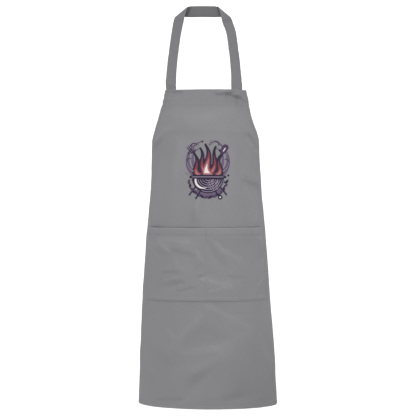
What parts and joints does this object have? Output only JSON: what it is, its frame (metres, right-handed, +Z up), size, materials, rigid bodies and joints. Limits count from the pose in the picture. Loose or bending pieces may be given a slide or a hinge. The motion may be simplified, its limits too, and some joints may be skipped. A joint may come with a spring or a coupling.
{
  "type": "bbq apron",
  "caption": "Plain grey cloth bib apron in its worn form, with a neck strap, a wide divided front pocket and knotted waist ties.",
  "frame": {"origin": "on the inner face of the neck strap at the nape, at the middle of the strap's width", "axes": "+Z up, the apron's front faces -Y, +X to the viewer's right"},
  "size_m": [0.39, 0.2358, 1.1314],
  "materials": {
    "apron_cloth": "mid grey woven twill, matt, softly creased",
    "strap_cloth": "the same grey twill, folded and edge-stitched flat"
  },
  "bodies": {
    "root": {"body_panel": "apron_cloth", "bib_top_hem": "apron_cloth", "armhole_hem_left": "apron_cloth", "armhole_hem_right": "apron_cloth", "side_hem_left": "apron_cloth", "side_hem_right": "apron_cloth", "bottom_hem": "apron_cloth", "pocket": "apron_cloth", "pocket_top_hem": "apron_cloth", "neck_strap": "strap_cloth", "waist_tie_left": "strap_cloth", "waist_tie_right": "strap_cloth", "tie_knot": "strap_cloth", "tie_tail_left": "strap_cloth", "tie_tail_right": "strap_cloth"}
  },
  "joints": []
}
